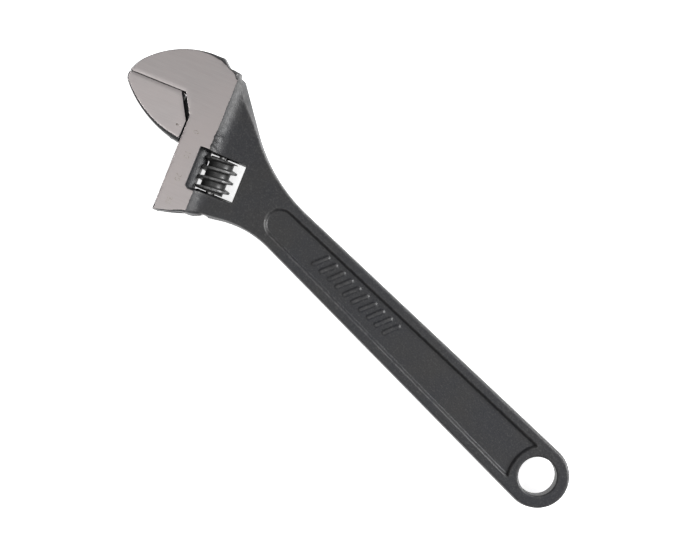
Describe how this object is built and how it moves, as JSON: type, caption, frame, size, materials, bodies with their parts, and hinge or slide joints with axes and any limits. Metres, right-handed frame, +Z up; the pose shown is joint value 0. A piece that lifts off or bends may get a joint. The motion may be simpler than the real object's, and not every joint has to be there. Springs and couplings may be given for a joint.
{
  "type": "adjustable wrench",
  "caption": "Adjustable open-end wrench with a black forged handle, ground head, sliding lower jaw, thumb-turned worm, hole to hang it by.",
  "frame": {"origin": "bottom centre of the bounding box, on the plane of the head's lower ground face", "axes": "+X along the handle from the hanging hole to the head, +Z up out of the upper broad face, +Y towards the chin of the head, the side that the movable jaw opens to"},
  "size_m": [0.2498, 0.0644, 0.0154],
  "materials": {
    "black_forging": "black phosphate on a drop forging, fine matt grain; the head's broad faces are ground bright",
    "ground_steel": "ground steel with fine parallel grinding lines, satin",
    "black_steel": "black oxide, satin, crests of the thread slightly worn",
    "bright_steel": "turned bright steel",
    "spring_steel": "drawn spring wire, bright"
  },
  "bodies": {
    "frame": {"body": "black_forging", "worm_pin": "bright_steel", "worm_spring": "spring_steel"},
    "jaw": {"movable_jaw": "ground_steel"},
    "worm": {"worm": "black_steel"}
  },
  "joints": [
    {"name": "jaw_slide", "type": "slide", "parent": "frame", "child": "jaw", "axis": [-0.3827, 0.9239, 0], "range_m": [0, 0.03]},
    {"name": "worm_spin", "type": "hinge", "parent": "frame", "child": "worm", "pos_m": [0.06953, 0.00506, 0.0077], "axis": [0.3827, -0.9239, 0], "range_deg": [0, 2571.5]}
  ],
  "couplings": [
    {"joint": "worm_spin", "follows": "jaw_slide", "rad_per_m": 1496}
  ]
}
